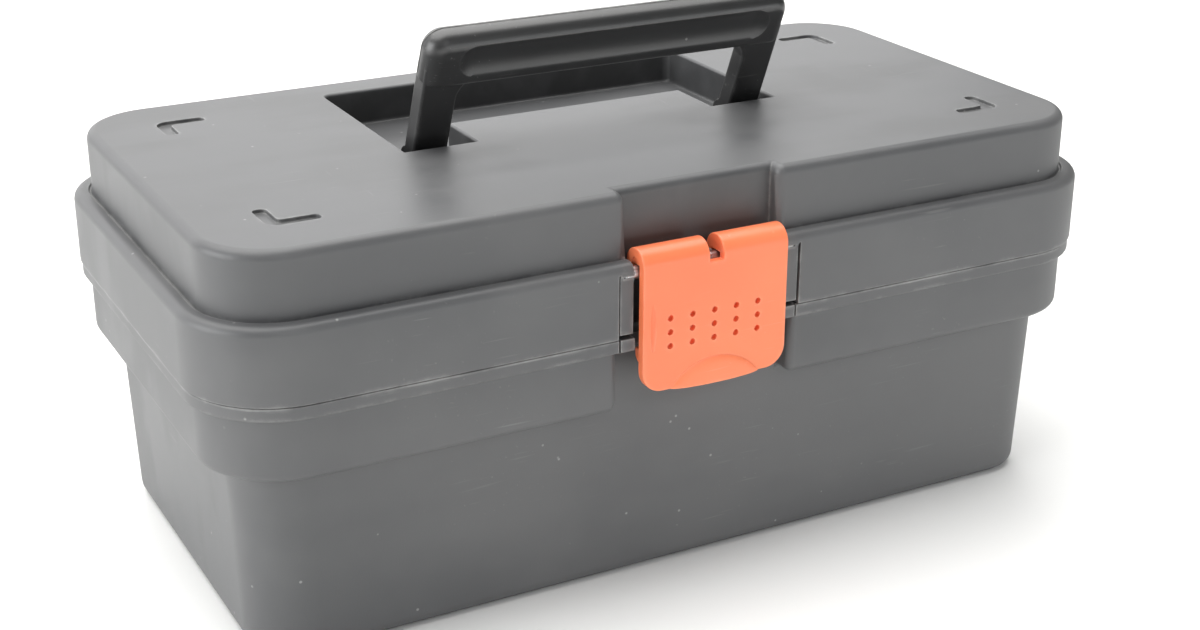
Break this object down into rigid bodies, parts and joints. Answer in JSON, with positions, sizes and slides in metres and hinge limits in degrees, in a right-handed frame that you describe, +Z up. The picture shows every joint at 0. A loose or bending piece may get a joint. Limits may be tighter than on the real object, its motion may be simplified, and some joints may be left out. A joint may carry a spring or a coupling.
{
  "type": "fishing tackle box",
  "caption": "Small hinged tackle box with a stepped lid, front pull latch, fold-down carrying handle and a lift-out tray with removable dividers.",
  "frame": {"origin": "middle of the tub's flat underside, on the surface the box stands on", "axes": "+X along the box's length to the right as seen from the latch side, -Y towards the latch, +Z up"},
  "size_m": [0.32, 0.1839, 0.1752],
  "materials": {
    "grey_plastic": "lightly textured moulded polypropylene",
    "black_plastic": "satin moulded polypropylene, worn at the ends",
    "orange_plastic": "semi-gloss moulded polypropylene",
    "tray_plastic": "satin moulded polypropylene",
    "steel": "drawn wire"
  },
  "bodies": {
    "tub": {"base_tub": "grey_plastic", "hinge_pin_left": "steel", "hinge_pin_right": "steel", "tub_divider_left": "tray_plastic", "tub_divider_right": "tray_plastic"},
    "lid": {"lid_shell": "grey_plastic", "latch_rod": "steel", "handle_pin_left": "steel", "handle_pin_right": "steel"},
    "handle": {"carry_handle": "black_plastic"},
    "latch": {"latch": "orange_plastic"},
    "tray": {"lift_tray": "tray_plastic", "tray_divider_front_1": "tray_plastic", "tray_divider_front_2": "tray_plastic", "tray_divider_front_3": "tray_plastic", "tray_divider_rear_1": "tray_plastic", "tray_divider_rear_2": "tray_plastic", "tray_divider_rear_3": "tray_plastic", "tray_divider_rear_4": "tray_plastic"}
  },
  "joints": [
    {"name": "lid_hinge", "type": "hinge", "parent": "tub", "child": "lid", "pos_m": [0, 0.0893, 0.089], "axis": [-1, 0, 0], "range_deg": [0, 105]},
    {"name": "latch_pivot", "type": "hinge", "parent": "lid", "child": "latch", "pos_m": [0, -0.0824, 0.1098], "axis": [-1, 0, 0], "range_deg": [0, 110]},
    {"name": "handle_pivot", "type": "hinge", "parent": "lid", "child": "handle", "pos_m": [0, -0.001, 0.1275], "axis": [-1, 0, 0], "range_deg": [0, 113]},
    {"name": "tray_lift", "type": "slide", "parent": "tub", "child": "tray", "axis": [0, 0, 1], "range_m": [0, 0.012]}
  ]
}
